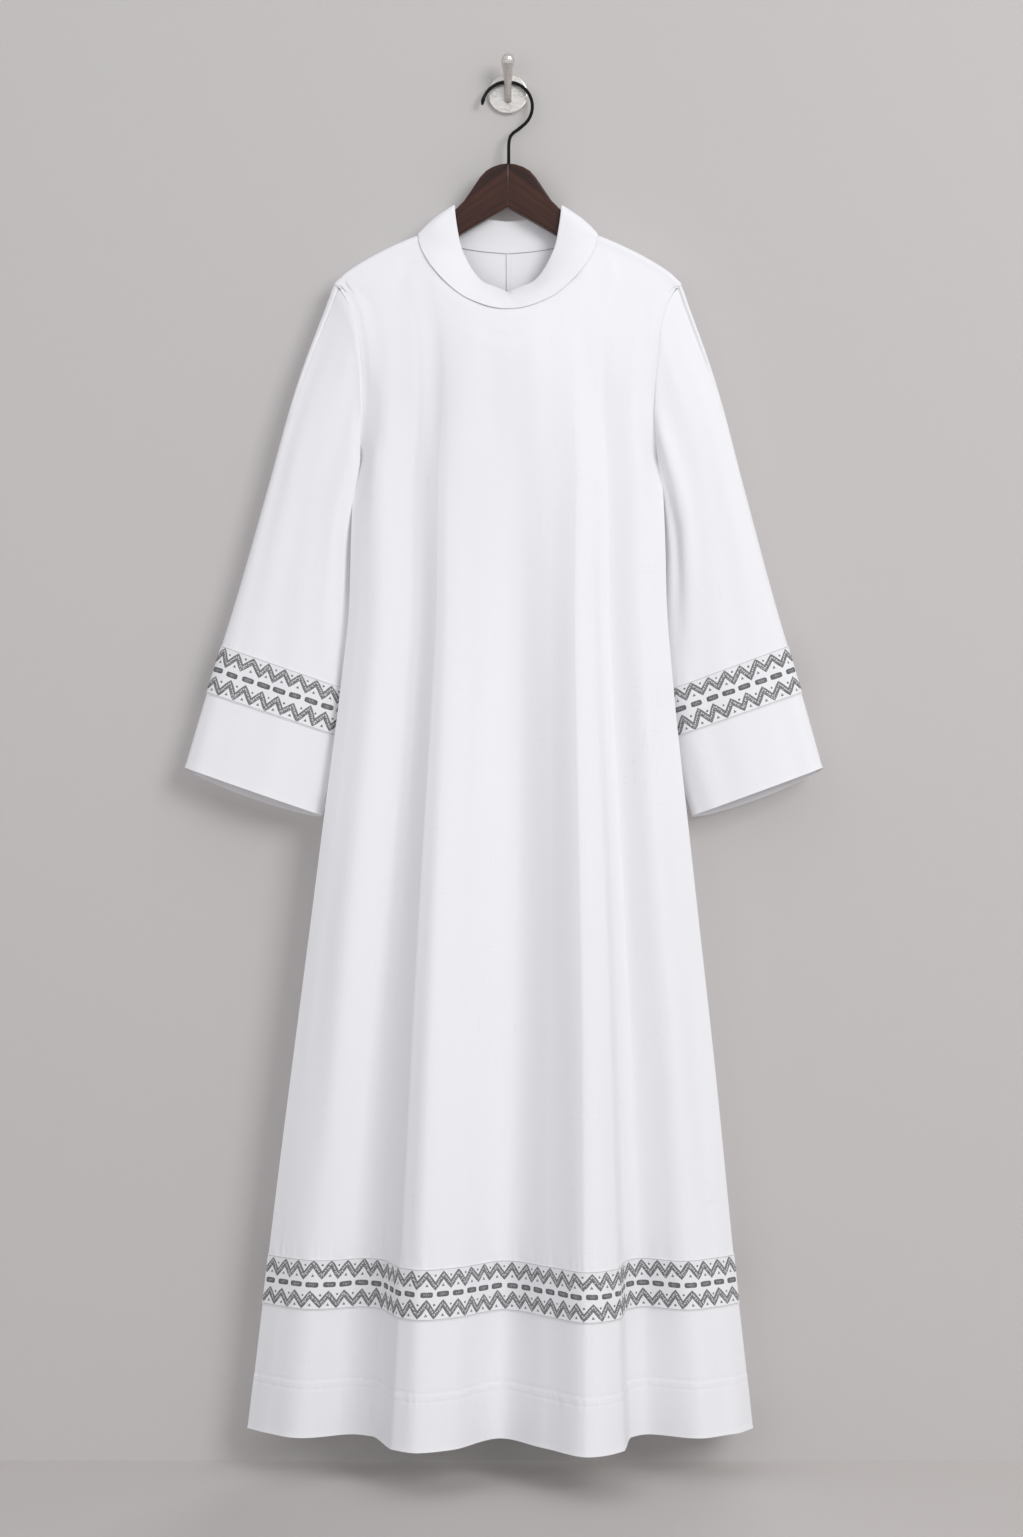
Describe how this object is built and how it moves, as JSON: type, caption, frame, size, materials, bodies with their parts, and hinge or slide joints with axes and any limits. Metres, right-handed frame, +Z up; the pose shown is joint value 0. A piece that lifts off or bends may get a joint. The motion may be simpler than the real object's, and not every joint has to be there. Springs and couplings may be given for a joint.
{
  "type": "alb robe with its hanger and wall hook",
  "caption": "Full-length white vestment robe with a fold-over collar, wide sleeves and woven bands, hanging flat on a wooden hanger from a wall hook.",
  "frame": {"origin": "centre of the wall plate's back face, on the wall", "axes": "+Z up, +Y into the wall, so the robe's front faces -Y; +X is the viewer's right as the robe is seen from the front"},
  "size_m": [0.7674, 0.1874, 1.6538],
  "materials": {
    "white_cloth": "matte woven cloth",
    "grey_embroidery": "white band with grey embroidery",
    "dark_walnut": "satin varnish",
    "black_steel": "black, satin",
    "satin_nickel": "satin nickel"
  },
  "bodies": {
    "root": {"front_panel": "white_cloth", "back_panel_left": "white_cloth", "back_panel_right": "white_cloth", "sleeve_left": "white_cloth", "sleeve_right": "white_cloth", "collar": "white_cloth", "hem_band_front": "grey_embroidery", "hem_band_back": "grey_embroidery", "sleeve_band_left": "grey_embroidery", "sleeve_band_right": "grey_embroidery", "hanger_arm_left": "dark_walnut", "hanger_arm_right": "dark_walnut", "hanger_hook": "black_steel", "wall_plate": "satin_nickel", "wall_peg": "satin_nickel", "wall_screw_left": "satin_nickel", "wall_screw_right": "satin_nickel", "wall_screw_bottom": "satin_nickel"}
  },
  "joints": []
}
